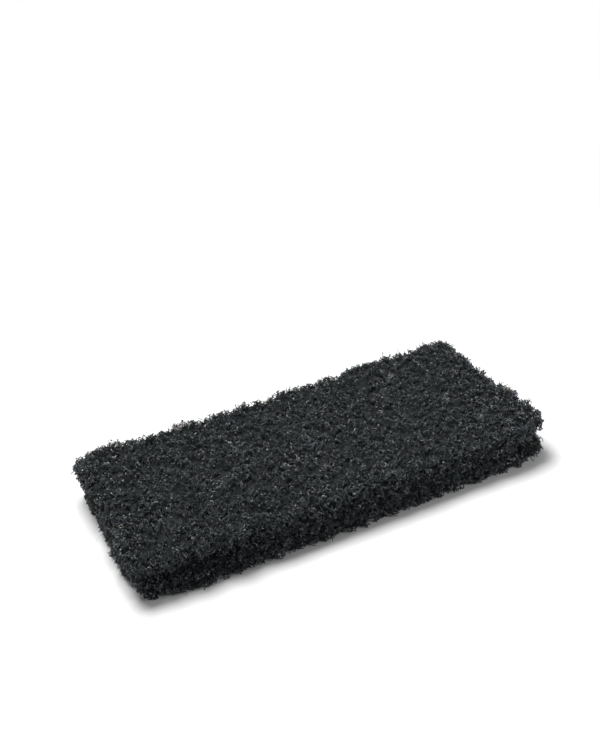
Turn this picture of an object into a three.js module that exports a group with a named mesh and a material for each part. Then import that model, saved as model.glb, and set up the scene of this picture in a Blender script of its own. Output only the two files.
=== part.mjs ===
import * as THREE from 'three';
import { ImprovedNoise } from 'three/addons/math/ImprovedNoise.js';

// Scouring pad: one slab of black nonwoven web, cut to a rectangle and lying flat.
// Millimetres, +Z up. X runs along the length and Y across the width.
// The origin is the centre of the flat underside, which the pad rests on.

// Overall size of the cut pad
const padLength = 250;
const padWidth = 115;
const padThickness = 25;

// Corner radii seen from above; the right front corner is the most worn
const frontLeftRadius = 3.5;
const backLeftRadius = 3;
const backRightRadius = 4.5;
const frontRightRadius = 12;

// How far the top falls away at each corner, and how far in from the corner that starts
const frontLeftFall = 1.2;
const backLeftFall = 0.8;
const backRightFall = 0.9;
const frontRightFall = 3.4;
const fallReach = 38;

// Rounding along the top edge and the slight one where the sides meet the underside
const topEdgeRadius = 2;
const bottomEdgeRadius = 1.4;

// The long waves that the knife left in the cut edges, strongest along the front
const frontWaveLength = 94;
const frontWaveCrest = -84;
const frontWaveDepth = 1.9;
const frontWaveReach = 30;
const edgeWaveLength = 38;
const edgeWaveDepth = 0.9;

// Matted tufts and the pits between them, on the top and on the cut sides
const tuftSpacing = 9.5;
const tuftDepth = 1.4;
const curlSpacing = 6.2;
const curlDepth = 0.9;
const sideTuftDepth = 1.5;
// Share of the side's relief that is left where the sides meet the floor
const reliefAtFloor = 0.45;
// How far in from the edge the top follows the dents of the sides
const edgeFollowReach = 14;

// The web parts into two layers at the corners, as a shallow groove round each corner
const partingHeight = 13.5;
const partingHalfWidth = 2.8;
const partingReach = 24;
const frontLeftParting = 0.9;
const backLeftParting = 2;
const backRightParting = 0.9;
const frontRightParting = 2.6;

// Spacing of the points that the surface is drawn with
const topPointSpacing = 3.3;
const sidePointSpacing = 3.4;
const edgeSteps = 2;

const webColour = 0x2c2e30;
const webRoughness = 0.95;

const noise = new ImprovedNoise();
const cellsAlong = Math.round(padLength / topPointSpacing);
const cellsAcross = Math.round(padWidth / topPointSpacing);

// 0 below low, 1 above high, smooth in between
function smooth(value, low, high) {
  return THREE.MathUtils.smoothstep(value, low, high);
}

// Values for whichever corner a point is nearest
function nearestCorner(x, y) {
  if (x < 0 && y < 0) {
    return { radius: frontLeftRadius, fall: frontLeftFall, parting: frontLeftParting };
  }
  if (x < 0) {
    return { radius: backLeftRadius, fall: backLeftFall, parting: backLeftParting };
  }
  if (y < 0) {
    return { radius: frontRightRadius, fall: frontRightFall, parting: frontRightParting };
  }
  return { radius: backRightRadius, fall: backRightFall, parting: backRightParting };
}

// A grid point as a place in plan: the plain outline moved in by inset, its corners rounded
function outlinePoint(column, row, inset) {
  const halfLength = padLength / 2 - inset;
  const halfWidth = padWidth / 2 - inset;
  const x = (2 * column / cellsAlong - 1) * halfLength;
  const y = (2 * row / cellsAcross - 1) * halfWidth;
  const sharpest = 0.1;
  const radius = Math.max(nearestCorner(x, y).radius - inset, sharpest);
  const pastX = Math.abs(x) - (halfLength - radius);
  const pastY = Math.abs(y) - (halfWidth - radius);
  if (pastX <= 0 || pastY <= 0) {
    return new THREE.Vector2(x, y);
  }
  const pull = Math.max(pastX, pastY) / Math.hypot(pastX, pastY);
  return new THREE.Vector2(
    Math.sign(x) * (halfLength - radius + pastX * pull),
    Math.sign(y) * (halfWidth - radius + pastY * pull),
  );
}

// Distance in plan to the nearest sharp corner of the rectangle
function cornerDistance(x, y) {
  return Math.hypot(padLength / 2 - Math.abs(x), padWidth / 2 - Math.abs(y));
}

// Tufts and curls of fibre as a height from -1 (deep pit) to 0 (top of a tuft)
function tuftHeight(x, y, z) {
  const tuft = noise.noise(x / tuftSpacing, y / tuftSpacing, z / tuftSpacing + 4.3);
  return Math.min(1.5 * tuft - 0.1, 0);
}

function curlHeight(x, y, z) {
  const curl = noise.noise(x / curlSpacing + 7.7, y / curlSpacing, z / curlSpacing);
  return Math.min(0.35 - 2 * Math.abs(curl), 0);
}

// The wave along the front edge, from 0 on a crest to 1 in a hollow
function frontWave(x) {
  return (1 - Math.cos(2 * Math.PI * (x - frontWaveCrest) / frontWaveLength)) / 2;
}

// How far the cut side lies inside the outline at a place and a height
function sideDepth(x, y, z) {
  const wave = noise.noise(x / edgeWaveLength + 2.1, y / edgeWaveLength, 0.5);
  const nearCorner = 1 - smooth(cornerDistance(x, y), partingReach / 2, partingReach);
  const fromParting = (z - partingHeight) / partingHalfWidth;
  const aboveFloor = smooth(z, 0, bottomEdgeRadius * 2);
  const relief = THREE.MathUtils.lerp(reliefAtFloor, 1, aboveFloor);
  return edgeWaveDepth * Math.max(wave, 0)
    + nearestCorner(x, y).parting * nearCorner * Math.exp(-fromParting * fromParting)
    - sideTuftDepth * relief * tuftHeight(x, y, z)
    - curlDepth * relief * curlHeight(x, y, z);
}

// The same place once the cut sides are dented there, at a height
function planPoint(column, row, inset, z) {
  const place = outlinePoint(column, row, inset);
  const endX = Math.sign(place.x) * padLength / 2;
  const sideY = Math.sign(place.y) * padWidth / 2;
  const nearEnd = 1 - smooth(Math.abs(endX - place.x) - inset, 0, edgeFollowReach);
  const nearSide = 1 - smooth(Math.abs(sideY - place.y) - inset, 0, edgeFollowReach);
  return new THREE.Vector2(
    place.x - Math.sign(place.x) * nearEnd * sideDepth(endX, place.y, z),
    place.y - Math.sign(place.y) * nearSide * sideDepth(place.x, sideY, z),
  );
}

// Height of the top surface over a place in plan
function topHeight(x, y) {
  const fromFront = y + padWidth / 2;
  const nearFront = 1 - smooth(fromFront, 0, frontWaveReach);
  const nearCorner = 1 - smooth(cornerDistance(x, y), 0, fallReach);
  return padThickness
    - frontWaveDepth * nearFront * frontWave(x)
    - nearestCorner(x, y).fall * nearCorner
    + tuftDepth * tuftHeight(x, y, padThickness)
    + curlDepth * curlHeight(x, y, padThickness);
}

// The side's rings from the top edge down: inset from the outline, and height as a share
// of the straight wall plus the part of an edge radius above or below it
function sideRings() {
  const rings = [];
  for (let step = 1; step <= edgeSteps; step += 1) {
    const turn = step / edgeSteps * Math.PI / 2;
    rings.push({
      inset: topEdgeRadius * (1 - Math.sin(turn)),
      wall: 1,
      lift: topEdgeRadius * Math.cos(turn),
    });
  }
  const wallHeight = padThickness - topEdgeRadius - bottomEdgeRadius;
  const wallSteps = Math.max(Math.round(wallHeight / sidePointSpacing), 2);
  for (let step = 1; step <= wallSteps; step += 1) {
    rings.push({ inset: 0, wall: 1 - step / wallSteps, lift: 0 });
  }
  rings.push({ inset: bottomEdgeRadius, wall: 0, lift: -bottomEdgeRadius });
  return rings;
}

// Grid points round the edge of the top, anticlockwise seen from above
function edgePoints() {
  const points = [];
  for (let column = 0; column < cellsAlong; column += 1) {
    points.push([column, 0]);
  }
  for (let row = 0; row < cellsAcross; row += 1) {
    points.push([cellsAlong, row]);
  }
  for (let column = cellsAlong; column > 0; column -= 1) {
    points.push([column, cellsAcross]);
  }
  for (let row = cellsAcross; row > 0; row -= 1) {
    points.push([0, row]);
  }
  return points;
}

// One closed surface: the top as a grid, the sides as rings, the underside as a flat face
function webGeometry() {
  const positions = [];
  const triangles = [];
  const addPoint = (x, y, z) => positions.push(x, y, z) / 3 - 1;
  const addQuad = (a, b, c, d, turned) => {
    if (turned) {
      triangles.push(a, b, d, b, c, d);
    } else {
      triangles.push(a, b, c, a, c, d);
    }
  };

  const top = [];
  for (let row = 0; row <= cellsAcross; row += 1) {
    top.push([]);
    for (let column = 0; column <= cellsAlong; column += 1) {
      const place = planPoint(column, row, topEdgeRadius, padThickness);
      top[row].push(addPoint(place.x, place.y, topHeight(place.x, place.y)));
    }
  }
  for (let row = 0; row < cellsAcross; row += 1) {
    for (let column = 0; column < cellsAlong; column += 1) {
      addQuad(
        top[row][column],
        top[row][column + 1],
        top[row + 1][column + 1],
        top[row + 1][column],
        (row + column) % 2 === 1,
      );
    }
  }

  const edge = edgePoints();
  let above = edge.map(([column, row]) => top[row][column]);
  const wallTops = above.map((point) => positions[3 * point + 2] - topEdgeRadius);
  sideRings().forEach((ring, level) => {
    const below = edge.map(([column, row], index) => {
      const wall = THREE.MathUtils.lerp(bottomEdgeRadius, wallTops[index], ring.wall);
      const z = wall + ring.lift;
      const place = planPoint(column, row, ring.inset, z);
      return addPoint(place.x, place.y, z);
    });
    edge.forEach((corner, index) => {
      const next = (index + 1) % edge.length;
      const turned = (index + level) % 2 === 1;
      addQuad(above[index], below[index], below[next], above[next], turned);
    });
    above = below;
  });

  const rim = above.map((point) => new THREE.Vector2(positions[3 * point], positions[3 * point + 1]));
  THREE.ShapeUtils.triangulateShape(rim, []).forEach(([a, b, c]) => {
    triangles.push(above[c], above[b], above[a]);
  });

  const geometry = new THREE.BufferGeometry();
  geometry.setAttribute('position', new THREE.Float32BufferAttribute(positions, 3));
  geometry.setIndex(triangles);
  geometry.computeVertexNormals();
  return geometry;
}

const webMaterial = new THREE.MeshStandardMaterial({
  color: webColour,
  roughness: webRoughness,
  metalness: 0,
});

const web = new THREE.Mesh(webGeometry(), webMaterial);
web.name = 'pad_web';

const scouringPad = new THREE.Group();
scouringPad.name = 'scouring_pad';
scouringPad.add(web);

export default scouringPad;
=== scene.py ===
import math

import bpy
import numpy as np
from mathutils import Matrix, Vector, noise
from mathutils.bvhtree import BVHTree


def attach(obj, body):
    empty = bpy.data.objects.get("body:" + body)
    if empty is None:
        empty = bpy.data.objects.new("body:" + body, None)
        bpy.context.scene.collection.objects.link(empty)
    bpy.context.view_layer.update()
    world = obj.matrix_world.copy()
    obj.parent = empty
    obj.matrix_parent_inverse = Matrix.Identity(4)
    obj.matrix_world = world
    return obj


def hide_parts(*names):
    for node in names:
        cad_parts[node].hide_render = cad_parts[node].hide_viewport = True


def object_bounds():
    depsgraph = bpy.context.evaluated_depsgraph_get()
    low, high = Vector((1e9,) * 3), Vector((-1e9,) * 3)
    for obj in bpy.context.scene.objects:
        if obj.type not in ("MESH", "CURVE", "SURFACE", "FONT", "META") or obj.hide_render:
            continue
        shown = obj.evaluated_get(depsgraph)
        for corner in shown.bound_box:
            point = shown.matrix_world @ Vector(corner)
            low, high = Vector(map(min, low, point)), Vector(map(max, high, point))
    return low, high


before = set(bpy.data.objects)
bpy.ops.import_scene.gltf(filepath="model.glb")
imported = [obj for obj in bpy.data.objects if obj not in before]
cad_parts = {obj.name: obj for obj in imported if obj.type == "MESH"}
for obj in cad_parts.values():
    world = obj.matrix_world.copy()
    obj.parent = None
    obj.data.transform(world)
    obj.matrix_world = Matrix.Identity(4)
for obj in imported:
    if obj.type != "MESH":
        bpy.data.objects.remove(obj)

# The looks of a scouring pad: a matted body over its CAD solid, with the fibres, curls and
# abrasive grains of the web grown over that. Lengths are in metres.

cadLow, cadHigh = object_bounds()
scene = bpy.context.scene


# Small helpers

def deselectAll():
    if bpy.context.object and bpy.context.object.mode != "OBJECT":
        bpy.ops.object.mode_set(mode="OBJECT")
    bpy.ops.object.select_all(action="DESELECT")


def makeActive(thing):
    deselectAll()
    thing.select_set(True)
    bpy.context.view_layer.objects.active = thing


def applyModifier(thing, kind, **settings):
    makeActive(thing)
    modifier = thing.modifiers.new(kind.title(), kind)
    for key, value in settings.items():
        setattr(modifier, key, value)
    bpy.ops.object.modifier_apply(modifier=modifier.name)


# A copy with its own mesh, and without the parent and the custom properties of the first
def copyOf(thing, name):
    made = thing.copy()
    made.data = thing.data.copy()
    made.parent = None
    made.name = name
    made.data.name = name
    for key in list(made.keys()):
        del made[key]
    scene.collection.objects.link(made)
    return made


# The camera, at the height and turn that the pad is seen from

cameraPlace = {
    "location": (-0.1890, -0.4837, 0.3701),
    "turn": -21.26,           # degrees about the vertical, 0 looks along +Y
    "rise": 29.72,            # degrees above the horizon
    "roll": -6.64,
    "focalPixels": 1060,
    "imageHeight": 740,       # the longer side of the picture, which the sensor spans
    "sensor": 36,
    "nearest": 0.01,
}


def addCamera(place):
    turn = math.radians(place["turn"])
    rise = math.radians(place["rise"])
    level = math.cos(rise)
    back = Vector((math.sin(turn) * level, -math.cos(turn) * level, math.sin(rise)))
    right = Vector((math.cos(turn), math.sin(turn), 0))
    up = back.cross(right)
    rolled = Matrix.Rotation(math.radians(place["roll"]), 3, back)
    axes = Matrix((rolled @ right, rolled @ up, back)).transposed()
    cameraData = bpy.data.cameras.new("camera")
    cameraData.sensor_width = place["sensor"]
    cameraData.lens = place["focalPixels"] / place["imageHeight"] * place["sensor"]
    cameraData.clip_start = place["nearest"]
    camera = bpy.data.objects.new("camera", cameraData)
    camera.matrix_world = Matrix.Translation(place["location"]) @ axes.to_4x4()
    scene.collection.objects.link(camera)
    scene.camera = camera


addCamera(cameraPlace)
print("camera placed")


# Helpers for the materials' nodes

noiseBand = (0.3, 0.7)        # most of what a noise texture gives lies between these


def newMaterial(name):
    material = bpy.data.materials.new(name)
    material.use_nodes = True
    nodes = material.node_tree.nodes
    return material, nodes, material.node_tree.links, nodes["Principled BSDF"]


def addMath(nodes, links, operation, first, second):
    step = nodes.new("ShaderNodeMath")
    step.operation = operation
    links.new(first, step.inputs[0])
    links.new(second, step.inputs[1])
    return step.outputs["Value"]


# 1 for what the camera sees straight, in a reflection or through a clear thing, and 0 for all else
def addSeen(nodes, links):
    path = nodes.new("ShaderNodeLightPath")
    glossy = path.outputs["Is Glossy Ray"]
    either = addMath(nodes, links, "MAXIMUM", glossy, path.outputs["Is Transmission Ray"])
    return addMath(nodes, links, "MAXIMUM", path.outputs["Is Camera Ray"], either)


def addRamp(nodes, links, factor, stops):
    ramp = nodes.new("ShaderNodeValToRGB")
    while len(ramp.color_ramp.elements) < len(stops):
        ramp.color_ramp.elements.new(0.5)
    for element, (place, colour) in zip(ramp.color_ramp.elements, stops):
        element.position = place
        element.color = (*colour, 1)
    links.new(factor, ramp.inputs["Fac"])
    return ramp.outputs["Color"]


def addNoise(nodes, links, coordinates, scale, detail):
    texture = nodes.new("ShaderNodeTexNoise")
    texture.inputs["Scale"].default_value = scale
    texture.inputs["Detail"].default_value = detail
    links.new(coordinates.outputs["Object"], texture.inputs["Vector"])
    return texture


def addRange(nodes, links, source, band, target):
    spread = nodes.new("ShaderNodeMapRange")
    spread.inputs["From Min"].default_value = band[0]
    spread.inputs["From Max"].default_value = band[1]
    spread.inputs["To Min"].default_value = target[0]
    spread.inputs["To Max"].default_value = target[1]
    links.new(source, spread.inputs["Value"])
    return spread


# The tone that each copy of a fibre or grain carries in its mesh. A fibre's tone also holds painted
# shade in the pits and painted light on the crests
def addTone(nodes):
    tone = nodes.new("ShaderNodeAttribute")
    tone.attribute_name = "tone"
    return tone.outputs["Fac"]


def addBump(nodes, links, shader, height, distance, strength):
    bump = nodes.new("ShaderNodeBump")
    bump.inputs["Distance"].default_value = distance
    bump.inputs["Strength"].default_value = strength
    links.new(height, bump.inputs["Height"])
    links.new(bump.outputs["Normal"], shader.inputs["Normal"])


# Material: black fibre coated in resin and fine abrasive

fibreFinish = {
    "dark": (0.0070, 0.0090, 0.0102),
    "middle": (0.0358, 0.0432, 0.0484),
    "light": (0.086, 0.098, 0.105),
    "pale": (0.560, 0.535, 0.500),
    "middleAt": 0.54,         # the tones that have these colours, with dark at 0 and pale at 1
    "lightAt": 0.92,
    "toneShare": 0.7,         # how much each fibre's tone counts, its own with the painted shade and light in it
    "blotchScale": 130,       # cloudy change of tone over the pad, per metre
    "blotchTone": (-0.1, 0.25),         # the least and the most that it adds to the tone
    "blotchDetail": 2,
    "grainScale": 2600,       # the fine abrasive crust on each fibre
    "grainTone": (-0.12, 0.2),
    "grainDetail": 4,
    "tintScale": 500,         # faint warm and cool patches in the resin
    "tint": 0.35,
    "tintDetail": 1,
    "roughest": 0.75,
    "smoothest": 0.42,
    "specular": 0.26,
    "bump": 0.00015,
    "bumpStrength": 0.8,
}


def fibreMaterial(name, finish):
    material, nodes, links, shader = newMaterial(name)
    coordinates = nodes.new("ShaderNodeTexCoord")
    blotch = addNoise(nodes, links, coordinates, finish["blotchScale"], finish["blotchDetail"])
    cloud = addRange(nodes, links, blotch.outputs["Fac"], noiseBand, finish["blotchTone"])
    mixed = nodes.new("ShaderNodeMath")
    mixed.operation = "MULTIPLY_ADD"
    mixed.inputs[1].default_value = finish["toneShare"]
    links.new(addTone(nodes), mixed.inputs[0])
    links.new(cloud.outputs["Result"], mixed.inputs[2])
    grain = addNoise(nodes, links, coordinates, finish["grainScale"], finish["grainDetail"])
    crust = addRange(nodes, links, grain.outputs["Fac"], noiseBand, finish["grainTone"])
    tone = addMath(nodes, links, "ADD", mixed.outputs["Value"], crust.outputs["Result"])
    colour = addRamp(nodes, links, tone, [
        (0.0, finish["dark"]),
        (finish["middleAt"], finish["middle"]),
        (finish["lightAt"], finish["light"]),
        (1.0, finish["pale"]),
    ])
    tint = nodes.new("ShaderNodeMixRGB")
    tint.blend_type = "OVERLAY"
    tint.inputs["Fac"].default_value = finish["tint"]
    links.new(colour, tint.inputs["Color1"])
    patches = addNoise(nodes, links, coordinates, finish["tintScale"], finish["tintDetail"])
    links.new(patches.outputs["Color"], tint.inputs["Color2"])
    links.new(tint.outputs["Color"], shader.inputs["Base Color"])
    roughBand = (finish["smoothest"], finish["roughest"])
    rough = addRange(nodes, links, grain.outputs["Fac"], noiseBand, roughBand)
    links.new(rough.outputs["Result"], shader.inputs["Roughness"])
    addBump(nodes, links, shader, grain.outputs["Fac"], finish["bump"], finish["bumpStrength"])
    shader.inputs["Specular IOR Level"].default_value = finish["specular"]
    return material


# Material: the matted web that shows between the fibres, coloured darker than the fibres as painted
# shade between them

bodyColourAndShade = {
    # The web's own uneven tone, with painted shade in the bump's pits and painted light on its
    # tufts
    "pit": (0.0058, 0.0067, 0.0071),
    "web": (0.0137, 0.0156, 0.0163),
    "tuft": (0.0295, 0.0332, 0.0345),
    "pitAt": 0.3,             # the heights in the mat's noise, which also gives the bump, that have these colours
    "webAt": 0.5,
    "tuftAt": 0.72,
    "matScale": 420,          # tangles of fibre seen between the loose ones
    "matDetail": 4,
    "curlScale": 900,
    "warp": 0.0015,           # how far the tangles push the curls about
    "roughInPits": 0.95,
    "roughOnTufts": 0.75,
    "specular": 0.17,
    "bump": 0.0006,
    "bumpStrength": 1,
}


def bodyMaterial(name, finish):
    material, nodes, links, shader = newMaterial(name)
    coordinates = nodes.new("ShaderNodeTexCoord")
    mat = addNoise(nodes, links, coordinates, finish["matScale"], finish["matDetail"])
    curl = nodes.new("ShaderNodeTexVoronoi")
    curl.feature = "DISTANCE_TO_EDGE"
    curl.inputs["Scale"].default_value = finish["curlScale"]
    warp = nodes.new("ShaderNodeMixRGB")
    warp.blend_type = "LINEAR_LIGHT"
    warp.inputs["Fac"].default_value = finish["warp"]
    links.new(coordinates.outputs["Object"], warp.inputs["Color1"])
    links.new(mat.outputs["Color"], warp.inputs["Color2"])
    links.new(warp.outputs["Color"], curl.inputs["Vector"])
    # Painted shade in the bump's pits and painted light on its tufts, over the web's own uneven
    # tone
    colour = addRamp(nodes, links, mat.outputs["Fac"], [
        (finish["pitAt"], finish["pit"]),
        (finish["webAt"], finish["web"]),
        (finish["tuftAt"], finish["tuft"]),
    ])
    links.new(colour, shader.inputs["Base Color"])
    height = addMath(nodes, links, "SUBTRACT", mat.outputs["Fac"], curl.outputs["Distance"])
    addBump(nodes, links, shader, height, finish["bump"], finish["bumpStrength"])
    roughBand = (finish["roughInPits"], finish["roughOnTufts"])
    rough = addRange(nodes, links, mat.outputs["Fac"], noiseBand, roughBand)
    links.new(rough.outputs["Result"], shader.inputs["Roughness"])
    shader.inputs["Specular IOR Level"].default_value = finish["specular"]
    return material


# Material: the abrasive grains that the fibres carry, the bright ones partly light grit and partly
# painted glint

grainFinish = {
    "dull": (0.049, 0.0535, 0.0562),
    "brightGritAndGlint": (0.20, 0.214, 0.223),
    "dullUpTo": 0.45,         # the tone up to which a grain stays dull
    "facetScale": 1500,
    "facetDetail": 2,
    "roughest": 0.55,
    "smoothest": 0.22,
    "specular": 0.45,
    "bump": 0.0001,
    "bumpStrength": 1,
}


def grainMaterial(name, finish):
    material, nodes, links, shader = newMaterial(name)
    coordinates = nodes.new("ShaderNodeTexCoord")
    facet = addNoise(nodes, links, coordinates, finish["facetScale"], finish["facetDetail"])
    colour = addRamp(nodes, links, addTone(nodes), [
        (finish["dullUpTo"], finish["dull"]),
        (1.0, finish["brightGritAndGlint"]),
    ])
    links.new(colour, shader.inputs["Base Color"])
    roughBand = (finish["smoothest"], finish["roughest"])
    rough = addRange(nodes, links, facet.outputs["Fac"], noiseBand, roughBand)
    links.new(rough.outputs["Result"], shader.inputs["Roughness"])
    addBump(nodes, links, shader, facet.outputs["Fac"], finish["bump"], finish["bumpStrength"])
    shader.inputs["Specular IOR Level"].default_value = finish["specular"]
    return material


fibreLook = fibreMaterial("coated_fibre", fibreFinish)
bodyLookWithShade = bodyMaterial("matted_web_painted_shade", bodyColourAndShade)
grainLook = grainMaterial("abrasive_grain_and_glint", grainFinish)
print("materials made")


# The matted body: the slab's own form, sunk a little under the loose fibre that covers it

body = {
    "weld": 0.00001,          # corners of the slab's loose triangles nearer than this are one
    "cell": 0.00135,          # remesh cell
    "smoothing": 0.5,
    "smoothRounds": 7,
    "swell": 0.0016,          # what the smoothing took off the sides
    "sunk": 0.0016,           # depth of the body under the fibre's crests
    "lumpSize": 0.0045,       # clumps of the mat, which the loose fibre follows
    "lumpHeight": 0.0048,
    "pebbleSize": 0.0019,
    "pebbleHeight": 0.0018,
    "fill": 0.7,
}


# Wear that the plain solid leaves out. Places are shares of the half length and half width.
# Each entry pushes the skin in by its depth, most at its height, and lifts the top by its lift.
# A depth below 0 lets the skin bulge.
rightFront = {"place": (1, -1), "push": (-1, 1)}
leftBack = {"place": (-1, 1), "push": (1, -1)}
backTuft = {"push": (0, -1), "height": 0.0230, "halfWidth": 0.0040, "depth": -0.0010}
wear = {
    "right front parting": {**rightFront, "height": 0.0118, "halfWidth": 0.0022,
                            "depth": 0.0074, "lift": 0, "reach": 0.024},
    "right front lower layer": {**rightFront, "height": 0.0062, "halfWidth": 0.0030,
                                "depth": -0.0014, "lift": 0, "reach": 0.022},
    "right front rounding": {**rightFront, "height": 0.0000, "halfWidth": 0.0034,
                             "depth": 0.0030, "lift": 0, "reach": 0.024},
    "right front bulge": {"place": (1, -0.70), "push": (-1, 0), "height": 0.0230,
                          "halfWidth": 0.0060, "depth": -0.0015, "lift": 0.0010, "reach": 0.020},
    "right front tuft": {**rightFront, "height": 0.0220, "halfWidth": 0.0050,
                         "depth": -0.0012, "lift": 0.0028, "reach": 0.040},
    "left back tuft": {**leftBack, "height": 0.0200, "halfWidth": 0.0060,
                       "depth": -0.0024, "lift": 0.0024, "reach": 0.045},
    "left back parting": {**leftBack, "height": 0.0110, "halfWidth": 0.0022,
                          "depth": 0.0030, "lift": 0, "reach": 0.020},
    "right back tuft": {"place": (1, 1), "push": (-1, -1), "height": 0.0200,
                        "halfWidth": 0.0080, "depth": -0.0018, "lift": 0.0022, "reach": 0.040},
    "left front rounding": {"place": (-1, -1), "push": (1, 1), "height": 0.0030,
                            "halfWidth": 0.0090, "depth": 0.0040, "lift": 0, "reach": 0.026},
    "front hollow": {"place": (-0.72, -1), "push": (0, 1), "height": 0.0145,
                     "halfWidth": 0.0060, "depth": 0.0064, "lift": 0, "reach": 0.046},
    "first back tuft": {**backTuft, "place": (-0.47, 1), "lift": 0.0022, "reach": 0.008},
    "second back tuft": {**backTuft, "place": (0.06, 1), "lift": 0.0018, "reach": 0.009},
    "third back tuft": {**backTuft, "place": (0.31, 1), "lift": 0.0016, "reach": 0.007},
    "back left tuft": {**backTuft, "place": (-0.84, 1), "lift": 0.0024, "reach": 0.011},
    "back middle tuft": {**backTuft, "place": (-0.14, 1), "depth": -0.0008,
                         "lift": 0.0013, "reach": 0.010},
    "back right swell": {**backTuft, "place": (0.55, 1), "halfWidth": 0.0060,
                         "depth": -0.0008, "lift": 0.0026, "reach": 0.032},
    "right end tuft": {"place": (1, -0.30), "push": (-1, 0), "height": 0.0230,
                       "halfWidth": 0.0040, "depth": -0.0018, "lift": 0.0022, "reach": 0.012},
}


def wearAway(thing, spot):
    centre = Vector((spot["place"][0] * cadHigh.x, spot["place"][1] * cadHigh.y))
    push = Vector((*spot["push"], 0))
    for vertex in thing.data.vertices:
        place = vertex.co
        near = max(1 - ((place.xy - centre).length / spot["reach"]) ** 2, 0)
        level = (place.z - spot["height"]) / spot["halfWidth"]
        inward = spot["depth"] * near * math.exp(-level * level)
        lift = spot["lift"] * near * place.z / cadHigh.z
        vertex.co = place + inward * push + Vector((0, 0, lift))


def displace(thing, kind, size, strength):
    texture = bpy.data.textures.new("relief", kind)
    texture.noise_scale = size
    applyModifier(thing, "DISPLACE", texture=texture, strength=strength, mid_level=0.5,
                  texture_coords="LOCAL")


# The surface that the fibres lie on
def makeSkin(node, values):
    made = copyOf(node, "skin")
    made.hide_render = False
    makeActive(made)
    bpy.ops.object.mode_set(mode="EDIT")
    bpy.ops.mesh.select_all(action="SELECT")
    bpy.ops.mesh.remove_doubles(threshold=values["weld"])
    bpy.ops.object.mode_set(mode="OBJECT")
    applyModifier(made, "REMESH", mode="VOXEL", voxel_size=values["cell"])
    applyModifier(made, "SMOOTH", factor=values["smoothing"], iterations=values["smoothRounds"])
    applyModifier(made, "DISPLACE", strength=values["swell"], mid_level=0)
    displace(made, "CLOUDS", values["lumpSize"], values["lumpHeight"])
    for spot in wear.values():
        wearAway(made, spot)
    for vertex in made.data.vertices:
        vertex.co.z = max(vertex.co.z, 0)             # the pad lies flat on the floor
    return made


def makeBody(skin, values):
    made = copyOf(skin, "matted_body")
    applyModifier(made, "DISPLACE", strength=-values["sunk"], mid_level=0)
    displace(made, "CLOUDS", values["pebbleSize"], values["pebbleHeight"])
    makeActive(made)
    bpy.ops.object.shade_smooth()
    made.data.materials.clear()
    made.data.materials.append(bodyLookWithShade)
    return made


skin = makeSkin(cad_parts["pad_web"], body)
mattedBody = makeBody(skin, body)
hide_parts("pad_web")
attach(mattedBody, "root")
print("matted body", len(mattedBody.data.polygons), "faces")


# One short tube and one grain are modelled as stock, then copied in their thousands.
# Each copy has a cell of its map, with the stock's side unrolled and its flat ends beside it.

tube = {
    "sides": 3,
    "steps": 6,               # lengths in a row, so that it can bend
}
grainShape = {
    "sides": 4,
    "rings": 3,
}
cell = {
    "margin": 0.08,
    "side": 0.9,              # share of the cell's width that the unrolled side takes
    "endAcross": 0.96,        # the middle of each end, across the cell and up it
    "endUp": 0.25,
    "endToEnd": 0.5,
    "endHalfWidth": 0.04,
    "endHalfHeight": 0.2,
    "slack": 0.01,            # corners nearer than this lie on the axis, or at one height
}


def aroundMap(corners, faces):
    halfTurn = 0.5
    spin = np.arctan2(corners[:, 1], corners[:, 0]) / (2 * math.pi) % 1
    across = np.hypot(corners[:, 0], corners[:, 1])
    low = corners[:, 2].min()
    along = (corners[:, 2] - low) / (corners[:, 2].max() - low)
    places = []
    for face in faces:
        onRim = across[face] > cell["slack"]
        flat = onRim.all() and np.ptp(along[face]) < cell["slack"]
        turns = spin[face]
        if np.ptp(turns[onRim]) > halfTurn:           # the face crosses the seam
            turns = turns + (turns < halfTurn)
        turns[~onRim] = turns[onRim].mean()
        for vertex, turn in zip(face, turns):
            if flat:
                middle = cell["endUp"] + cell["endToEnd"] * along[vertex]
                places.append((cell["endAcross"] + cell["endHalfWidth"] * corners[vertex, 0],
                               middle + cell["endHalfHeight"] * corners[vertex, 1]))
            else:
                places.append((cell["side"] * along[vertex], turn))
    return np.array(places)


def takeStock(thing):
    corners = np.array([vertex.co[:] for vertex in thing.data.vertices])
    faces = [list(polygon.vertices) for polygon in thing.data.polygons]
    bpy.data.objects.remove(thing)
    return {"corners": corners, "faces": faces, "map": aroundMap(corners, faces)}


# A tube of radius 1, cut across at each whole step of its length
def modelTube(values):
    deselectAll()
    bpy.ops.mesh.primitive_cylinder_add(vertices=values["sides"], radius=1,
                                        depth=values["steps"], end_fill_type="NGON")
    made = bpy.context.object
    bpy.ops.object.mode_set(mode="EDIT")
    bpy.ops.mesh.select_mode(type="EDGE")
    bpy.ops.mesh.select_all(action="DESELECT")
    bpy.ops.object.mode_set(mode="OBJECT")
    for edge in made.data.edges:
        low, high = (made.data.vertices[end].co.z for end in edge.vertices)
        edge.select = abs(high - low) > values["steps"] / 2
    bpy.ops.object.mode_set(mode="EDIT")
    bpy.ops.mesh.subdivide(number_cuts=values["steps"] - 1)
    bpy.ops.object.mode_set(mode="OBJECT")
    model = takeStock(made)
    model["ring"] = np.rint(model["corners"][:, 2] + values["steps"] / 2).astype(int)
    return model


def modelGrain(values):
    deselectAll()
    bpy.ops.mesh.primitive_uv_sphere_add(segments=values["sides"], ring_count=values["rings"],
                                         radius=1)
    return takeStock(bpy.context.object)


tubeStock = modelTube(tube)
grainStock = modelGrain(grainShape)
print("tube and grain modelled")


def placeMap(mesh, places):
    layer = mesh.uv_layers.new(name="OFBake")
    layer.data.foreach_set("uv", places.reshape(-1).astype(np.float32))


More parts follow.
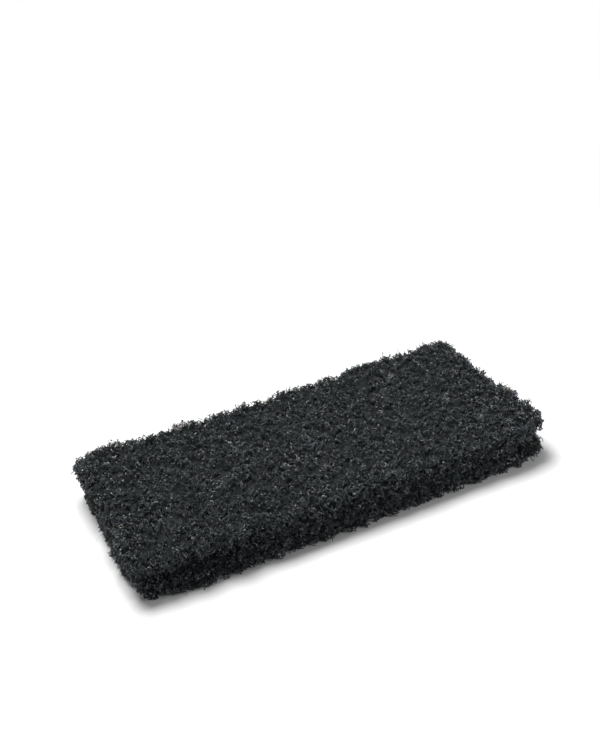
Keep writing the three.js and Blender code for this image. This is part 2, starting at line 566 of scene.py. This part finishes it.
def cellMap(mesh, places, count):
    columns = math.ceil(math.sqrt(count))
    number = np.arange(count)
    corner = np.stack((number % columns, number // columns), axis=-1)[:, None]
    inside = 1 - 2 * cell["margin"]
    placeMap(mesh, (corner + cell["margin"] + inside * places[None]) / columns)


# The skin's faces, sorted by where they look

slope = 0.55                  # the upright part of a normal past which a face is top or underside


def meshArrays(thing):
    mesh = thing.data
    count = len(mesh.polygons)
    centres = np.empty(count * 3)
    normals = np.empty(count * 3)
    areas = np.empty(count)
    mesh.polygons.foreach_get("center", centres)
    mesh.polygons.foreach_get("normal", normals)
    mesh.polygons.foreach_get("area", areas)
    return centres.reshape(-1, 3), normals.reshape(-1, 3), areas


skinCentres, skinNormals, skinAreas = meshArrays(skin)
facesUp = skinNormals[:, 2] > slope
facesDown = skinNormals[:, 2] < -slope
facesSide = ~facesUp & ~facesDown
facesLong = facesSide & (np.abs(skinNormals[:, 1]) > np.abs(skinNormals[:, 0]))
facesEnd = facesSide & ~facesLong

rim = {
    "reach": 0.004,           # how far in from the sides the rim goes
    "floor": 0.003,           # and how low
}
fromSides = np.minimum(cadHigh.x - np.abs(skinCentres[:, 0]), cadHigh.y - np.abs(skinCentres[:, 1]))
nearRim = (fromSides < rim["reach"]) & (skinCentres[:, 2] > rim["floor"])


# The body's map: top and underside, then the long sides, then the ends, one above the other.
# The body has the skin's faces in the skin's order.

bodyMap = {
    "spare": 0.008,           # the map's own room for what stands out past the plain slab
    "below": 0.003,
}


def flatMap(mesh, values):
    length, width, height = (np.array(cadHigh) - np.array(cadLow)) + values["spare"]
    corners = np.empty(len(mesh.loops), dtype=np.int32)
    mesh.loops.foreach_get("vertex_index", corners)
    points = np.empty(len(mesh.vertices) * 3)
    mesh.vertices.foreach_get("co", points)
    x, y, z = points.reshape(-1, 3)[corners].T
    x = x + length / 2
    y = y + width / 2
    z = z + values["below"]
    sizes = np.empty(len(mesh.polygons), dtype=np.int32)
    mesh.polygons.foreach_get("loop_total", sizes)
    down, long, end = (np.repeat(where, sizes) for where in (facesDown, facesLong, facesEnd))
    onBack = y > width / 2
    onRight = x > length / 2
    across = np.where(end, y + width * onRight, x)
    onLong = 2 * width + z + height * onBack
    onEnd = 2 * width + z + 2 * height
    up = np.select([down, long, end], [width + y, onLong, onEnd], y)
    placeMap(mesh, np.stack((across, up), axis=-1) / (2 * width + 3 * height))


flatMap(mattedBody.data, bodyMap)
skinTree = BVHTree.FromPolygons([vertex.co[:] for vertex in skin.data.vertices],
                                [polygon.vertices[:] for polygon in skin.data.polygons])


# Where the fibres root and how they lie on the skin

roots = {
    "leastShare": 0.05,       # share of the fibres that a bald spot keeps
    "jitter": 0.6,            # how far a root may move from its face's middle, in remesh cells
}
# The mat's pits: a relief that moves the fibres, with painted shade in the pits and painted light
# on the crests
pits = {
    "fineSize": 0.0013,
    "broadSize": 0.0032,
    "fineShare": 0.25,
    "depth": 0.0020,
    "shade": 1.0,             # painted shade: how much darker the fibre is coloured in a pit
    "crest": 190,             # painted light: how much lighter it is coloured for each metre above the rest
}


def unit(vectors):
    shortest = 1e-12                                  # so that nothing is divided by 0
    return vectors / np.maximum(np.linalg.norm(vectors, axis=-1, keepdims=True), shortest)


def between(random, limits, count):
    return random.uniform(limits[0], limits[1], count)


def noiseAt(places, size):
    return np.array([noise.noise(Vector(place) / size) for place in places])


def patchiness(places, size, strength):
    return np.clip(1 + strength * noiseAt(places, size), roots["leastShare"], None)


def onSkin(points):
    found = [skinTree.find_nearest(Vector(point))[:2] for point in points.reshape(-1, 3)]
    places = np.array([place[:] for place, normal in found]).reshape(points.shape)
    normals = np.array([normal[:] for place, normal in found]).reshape(points.shape)
    return places, normals


def matRelief(points, values):
    flat = points.reshape(-1, 3)
    fine = noiseAt(flat, values["fineSize"])
    broad = noiseAt(flat, values["broadSize"])
    relief = values["fineShare"] * fine + (1 - values["fineShare"]) * broad
    return relief.reshape(points.shape[:-1])


def pickPlaces(random, where, values):
    inside = np.flatnonzero(where)
    density = patchiness(skinCentres[inside], values["patchSize"], values["patchiness"])
    weights = skinAreas[inside] * density
    picked = random.choice(inside, values["count"], p=weights / weights.sum())
    normals = skinNormals[picked]
    along = unit(np.cross(normals, random.normal(size=normals.shape)))
    across = np.cross(normals, along)
    jitter = random.uniform(-roots["jitter"], roots["jitter"], (2, len(picked), 1)) * body["cell"]
    return skinCentres[picked] + jitter[0] * along + jitter[1] * across, along, across


# Fibre made pale in patches along the back edge, on the right end and in the right front parting

backTop = (cadHigh.y - 0.001, cadHigh.z + 0.001)
paleFibre = {
    "share": 0.62,            # share of the fibres there that are made pale
    "seed": 31,
    "fade": 2.5,              # how sharply a patch ends
    "patches": (
        {"place": (-0.060, *backTop), "radius": 0.0068, "tone": 1.5},
        {"place": (-0.003, *backTop), "radius": 0.0062, "tone": 1.5},
        {"place": (0.0175, *backTop), "radius": 0.0030, "tone": 1.5},
        {"place": (0.0410, *backTop), "radius": 0.0058, "tone": 1.5},
        {"place": (-0.109, *backTop), "radius": 0.0160, "tone": 0.5},
        {"place": (-0.049, *backTop), "radius": 0.0036, "tone": 1.5},
        {"place": (cadHigh.x, -0.017, cadHigh.z), "radius": 0.0056, "tone": 1.5},
        {"place": (cadHigh.x - 0.005, 0.007 - cadHigh.y, 0.0115), "radius": 0.0056, "tone": 1.5},
    ),
}


def paleness(points):
    random = np.random.default_rng(paleFibre["seed"])
    isPale = random.uniform(0, 1, (len(points), 1)) < paleFibre["share"]
    added = np.zeros(points.shape[:-1])
    for patch in paleFibre["patches"]:
        away = np.linalg.norm(points - np.array(patch["place"]), axis=-1) / patch["radius"]
        added += patch["tone"] * np.clip(paleFibre["fade"] - paleFibre["fade"] * away, 0, 1)
    return added * isPale


# Copies of a stock shape, all in one mesh

lowest = 0.00004              # nothing goes through the floor


def buildCopies(name, points, model, tone, look):
    points[..., 2] = np.maximum(points[..., 2], lowest)
    count, size = points.shape[:2]
    faces = model["faces"]
    lengths = np.array([len(face) for face in faces])
    corners = np.concatenate(faces)
    mesh = bpy.data.meshes.new(name)
    mesh.vertices.add(count * size)
    mesh.vertices.foreach_set("co", points.reshape(-1).astype(np.float32))
    allCorners = (corners[None, :] + size * np.arange(count)[:, None]).reshape(-1)
    mesh.loops.add(len(allCorners))
    mesh.loops.foreach_set("vertex_index", allCorners.astype(np.int32))
    starts = np.concatenate(([0], np.cumsum(lengths)[:-1]))
    allStarts = (starts[None, :] + len(corners) * np.arange(count)[:, None]).reshape(-1)
    mesh.polygons.add(len(allStarts))
    mesh.polygons.foreach_set("loop_start", allStarts.astype(np.int32))
    mesh.update(calc_edges=True)
    toneLayer = mesh.attributes.new("tone", "FLOAT", "POINT")
    toneLayer.data.foreach_set("value", tone.reshape(-1).astype(np.float32))
    cellMap(mesh, model["map"], count)
    made = bpy.data.objects.new(name, mesh)
    scene.collection.objects.link(made)
    makeActive(made)
    bpy.ops.object.shade_flat()
    mesh.materials.append(look)
    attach(made, "root")
    print(name, count, "copies of", len(faces), "faces")


# A copy of the tube along each path, with its own radius at each step
def sweepTube(centres, up, radius):
    nudge = 1e-6                                      # gives a path that runs along up a side too
    forward = unit(np.gradient(centres, axis=1))
    side = unit(np.cross(up, forward) + nudge)
    lift = np.cross(forward, side)
    ring = tubeStock["ring"]
    offset = tubeStock["corners"]
    around = offset[:, 0, None] * side[:, ring] + offset[:, 1, None] * lift[:, ring]
    return centres[:, ring] + radius[:, ring, None] * around


# Crimped fibres that lie in the mat, and looser ones over them

matLayer = {
    "count": 2500,
    "length": (0.0045, 0.0075),
    "turn": (1.0, 5.0),       # how far a fibre turns from end to end, in radians
    "crimp": (0.0024, 0.0038),          # length of one wave
    "sway": 0.9,              # and how far it swings, in radians
    "height": (-0.0011, -0.0003),       # over the skin
    "ripple": 0.0006,
    "rippleRate": 0.8,        # ripples up and down for each crimp sideways
    "endDip": 0.0009,         # how far the ends go down into the mat
    "thickness": (0.00048, 0.00082),
    "swell": (0.75, 1.25),    # how unevenly the resin thickens it
    "taper": 0.45,
    "patchSize": 0.0030,
    "patchiness": 1.5,
    "tone": 0.40,
    "toneSpread": 0.22,
}
undersideLayer = {**matLayer, "count": 1700}
looseLayer = {**matLayer, "height": (-0.0003, 0.0007), "ripple": 0.0009, "tone": 0.5}
longSideLayer = {**looseLayer, "count": 2600}
endLayer = {**looseLayer, "count": 1300}
frayLayer = {
    **matLayer,
    "count": 1200,
    "length": (0.003, 0.0055),
    "turn": (0.3, 3.0),
    "height": (0.0000, 0.0011),
    "ripple": 0.0009,
    "endDip": 0.0014,
    "thickness": (0.00026, 0.00046),
    "patchSize": 0.004,
    "tone": 0.45,
}


def crimpedPaths(random, count, values, steps):
    t = np.linspace(0, 1, steps + 1)[None, :]
    length = between(random, values["length"], count)[:, None]
    turn = between(random, values["turn"], count)[:, None] * random.choice([-1, 1], count)[:, None]
    waves = length / between(random, values["crimp"], count)[:, None]
    phase = random.uniform(0, 2 * math.pi, (4, count, 1))     # two are used and two are spare
    heading = turn * (t - 0.5) + values["sway"] * np.sin(2 * math.pi * waves * t + phase[0])
    step = length / steps
    x = np.cumsum(np.cos(heading) * step, axis=1)
    y = np.cumsum(np.sin(heading) * step, axis=1)
    x -= x.mean(axis=1, keepdims=True)
    y -= y.mean(axis=1, keepdims=True)
    base = between(random, values["height"], count)[:, None]
    ripple = np.sin(2 * math.pi * waves * t * values["rippleRate"] + phase[1])
    ends = values["endDip"] * np.abs(2 * t - 1) ** 4
    return x, y, base + values["ripple"] * ripple - ends


def growFibres(name, where, values, seed):
    random = np.random.default_rng(seed)
    count = values["count"]
    steps = tube["steps"]
    places, along, across = pickPlaces(random, where, values)
    x, y, z = crimpedPaths(random, count, values, steps)
    spread = places[:, None] + x[..., None] * along[:, None] + y[..., None] * across[:, None]
    feet, faceUp = onSkin(spread)
    relief = matRelief(feet, pits)
    z = z + pits["depth"] * relief
    centres = feet + z[..., None] * faceUp
    t = np.linspace(-1, 1, steps + 1)
    taper = 1 - values["taper"] * np.abs(t) ** 3
    radius = between(random, values["thickness"], count) / 2
    swell = radius[:, None] * taper * random.uniform(*values["swell"], (count, len(t)))
    points = sweepTube(centres, faceUp, swell)
    tone = random.normal(values["tone"], values["toneSpread"], (count, 1))
    # Painted shade in the pits and painted light on the crests, added to each fibre's tone
    shade = pits["shade"] * relief + pits["crest"] * (z - z.mean())
    tone = np.clip(tone + shade[:, tubeStock["ring"]], 0, 1)
    buildCopies(name, points, tubeStock, tone + paleness(points), fibreLook)
    return centres


# Short loops that stand up out of the mat, and single long hairs

curls = {
    "count": 2600,
    "length": (0.0028, 0.0052),
    "turn": (1.2, 3.3),
    "tilt": 0.35,
    "sunk": 0.0012,           # depth of the root under the skin
    "thickness": (0.00044, 0.00074),
    "taper": 0.35,
    "patchSize": 0.0030,
    "patchiness": 2.0,
    "tone": 0.42,
    "toneSpread": 0.22,
}
sideLoops = {**curls, "count": 1500}
rimLoops = {
    **curls,
    "count": 1700,
    "length": (0.0030, 0.0056),
    "turn": (1.7, 3.7),
    "tilt": 0.5,
    "sunk": 0.0014,
    "thickness": (0.00044, 0.00076),
    "patchSize": 0.0040,
    "patchiness": 3.0,
    "tone": 0.30,
}
wisps = {
    **rimLoops,
    "count": 34,
    "length": (0.006, 0.011),
    "turn": (0.8, 2.4),
    "taper": 0.6,
    "thickness": (0.00010, 0.00018),
}


def growCurls(name, where, values, seed):
    random = np.random.default_rng(seed)
    count = values["count"]
    places, along, across = pickPlaces(random, where, values)
    normals = np.cross(along, across)
    outward = unit(normals + random.normal(0, values["tilt"], (count, 3)))
    drift = unit(np.cross(outward, random.normal(size=(count, 3))))
    t = np.linspace(0, 1, tube["steps"] + 1)[None, :, None]
    turn = between(random, values["turn"], count)[:, None, None]
    reach = between(random, values["length"], count)[:, None, None] / turn
    rise = reach * np.sin(turn * t) * outward[:, None]
    sweep = reach * (1 - np.cos(turn * t)) * drift[:, None]
    centres = (places - values["sunk"] * normals)[:, None] + rise + sweep
    taper = 1 - values["taper"] * t[..., 0]
    radius = between(random, values["thickness"], count)[:, None] / 2 * taper
    sideways = np.broadcast_to(np.cross(outward, drift)[:, None], centres.shape)
    points = sweepTube(centres, sideways, radius)
    above = ((centres - places[:, None]) * normals[:, None]).sum(axis=-1)
    # Painted light and shade: a curl is coloured lighter the farther it stands above the skin
    tone = random.normal(values["tone"], values["toneSpread"], (count, 1)) + pits["crest"] * above
    tone = np.clip(tone, 0, 1)[:, tubeStock["ring"]]
    buildCopies(name, points, tubeStock, tone + paleness(points), fibreLook)
    return centres


# Abrasive grains that cling to the fibres

grains = {
    "count": 7000,
    "size": (0.0006, 0.0015),
    "stretch": (0.6, 1.3),
    "scatter": 0.00025,
    "brightPower": 3.0,       # the higher, the fewer grains are bright, which is partly painted glint
}
sideGrains = {**grains, "count": 5000}
undersideGrains = {**grains, "count": 1500}


def growGrains(name, fibres, values, seed):
    random = np.random.default_rng(seed)
    count = values["count"]
    centres = fibres.reshape(-1, 3)
    centres = centres[random.choice(len(centres), count)]
    centres = centres + random.normal(0, values["scatter"], (count, 3))
    radius = between(random, values["size"], count) / 2
    turnOne = unit(random.normal(size=(count, 3)))
    turnTwo = unit(np.cross(turnOne, random.normal(size=(count, 3))))
    turnThree = np.cross(turnOne, turnTwo)
    stretch = random.uniform(*values["stretch"], (3, count, 1))
    corner = grainStock["corners"]
    points = (corner[None, :, 0, None] * (turnOne * stretch[0])[:, None]
              + corner[None, :, 1, None] * (turnTwo * stretch[1])[:, None]
              + corner[None, :, 2, None] * (turnThree * stretch[2])[:, None])
    points = centres[:, None] + radius[:, None, None] * points
    # Bright tones: partly light grit, partly painted glint
    tone = random.uniform(0, 1, (count, 1)) ** values["brightPower"]
    tone = np.repeat(tone, len(corner), axis=1)
    buildCopies(name, points, grainStock, tone, grainLook)


growFibres("top_mat_fibres", facesUp, matLayer, seed=11)
onTop = growFibres("top_loose_fibres", facesUp, looseLayer, seed=12)
onLong = growFibres("front_and_back_fibres", facesLong, longSideLayer, seed=13)
onEnds = growFibres("end_fibres", facesEnd, endLayer, seed=14)
onUnderside = growFibres("underside_fibres", facesDown, undersideLayer, seed=15)
onRim = growFibres("edge_frays", nearRim, frayLayer, seed=16)
inTopCurls = growCurls("top_curls", facesUp, curls, seed=17)
inSideCurls = growCurls("side_curls", facesSide, sideLoops, seed=20)
inRimCurls = growCurls("rim_curls", nearRim, rimLoops, seed=18)
growCurls("stray_wisps", nearRim, wisps, seed=19)
growGrains("top_grains", np.concatenate((onTop, inTopCurls)), grains, seed=21)
besides = np.concatenate((onLong, inSideCurls, onEnds, onRim, inRimCurls))
growGrains("side_grains", besides, sideGrains, seed=22)
growGrains("underside_grains", onUnderside, undersideGrains, seed=23)
bpy.data.objects.remove(skin)


# The floor: near white to the camera apart from the pad's shadow, darker in the light it bounces

floor = {
    "size": 6.0,
    "seen": 0.89,             # how pale the camera sees it
    "bounce": 0.20,           # and how pale it is to the light that it throws back
    "plainFrom": 0.25,        # past this distance from its middle the floor is seen plain white
    "plainBy": 0.6,
}


def addFloor(values):
    deselectAll()
    bpy.ops.mesh.primitive_plane_add(size=values["size"], location=(0, 0, 0))
    made = bpy.context.object
    made.name = "floor"
    material, nodes, links, shader = newMaterial("pale_floor")
    seen = addSeen(nodes, links)
    spread = addRange(nodes, links, seen, (0, 1), (values["bounce"], values["seen"]))
    links.new(spread.outputs["Result"], shader.inputs["Base Color"])
    shader.inputs["Roughness"].default_value = 1
    shader.inputs["Specular IOR Level"].default_value = 0
    coordinates = nodes.new("ShaderNodeTexCoord")
    distance = nodes.new("ShaderNodeVectorMath")
    distance.operation = "LENGTH"
    links.new(coordinates.outputs["Object"], distance.inputs[0])
    plainBand = (values["plainFrom"], values["plainBy"])
    far = addRange(nodes, links, distance.outputs["Value"], plainBand, (0, 1))
    far.interpolation_type = "SMOOTHSTEP"
    seenFar = addMath(nodes, links, "MULTIPLY", far.outputs["Result"], seen)
    plain = nodes.new("ShaderNodeEmission")
    plain.inputs["Color"].default_value = (1, 1, 1, 1)
    blend = nodes.new("ShaderNodeMixShader")
    links.new(seenFar, blend.inputs["Fac"])
    links.new(shader.outputs["BSDF"], blend.inputs[1])
    links.new(plain.outputs["Emission"], blend.inputs[2])
    links.new(blend.outputs["Shader"], nodes["Material Output"].inputs["Surface"])
    made.data.materials.append(material)


# The lamps, all aimed at the pad's origin, and the even light from all round

lamps = {
    "overhead": {"place": (-0.09, 0.36, 1.28), "size": 0.66, "power": 21.2},
    "left": {"place": (-1.2, 0.1, 0.6), "size": 0.4, "power": 1.6},
    "front": {"place": (0.46, -0.47, 0.17), "size": 0.22, "power": 1.8},
}
surroundStrength = 0.125


def addLamp(name, values):
    lampData = bpy.data.lights.new(name, "AREA")
    lampData.size = values["size"]
    lampData.energy = values["power"]
    lamp = bpy.data.objects.new(name, lampData)
    lamp.location = values["place"]
    lamp.rotation_euler = (-Vector(values["place"])).to_track_quat("-Z", "Y").to_euler()
    scene.collection.objects.link(lamp)


def addWorld(strength):
    world = bpy.data.worlds.new("surround")
    scene.world = world
    world.use_nodes = True
    nodes = world.node_tree.nodes
    links = world.node_tree.links
    spread = addRange(nodes, links, addSeen(nodes, links), (0, 1), (strength, 1))
    links.new(spread.outputs["Result"], nodes["Background"].inputs["Strength"])
    nodes["Background"].inputs["Color"].default_value = (1, 1, 1, 1)


addFloor(floor)
for name, values in lamps.items():
    addLamp(name, values)
addWorld(surroundStrength)
scene.view_settings.view_transform = "Standard"
print("stage set")
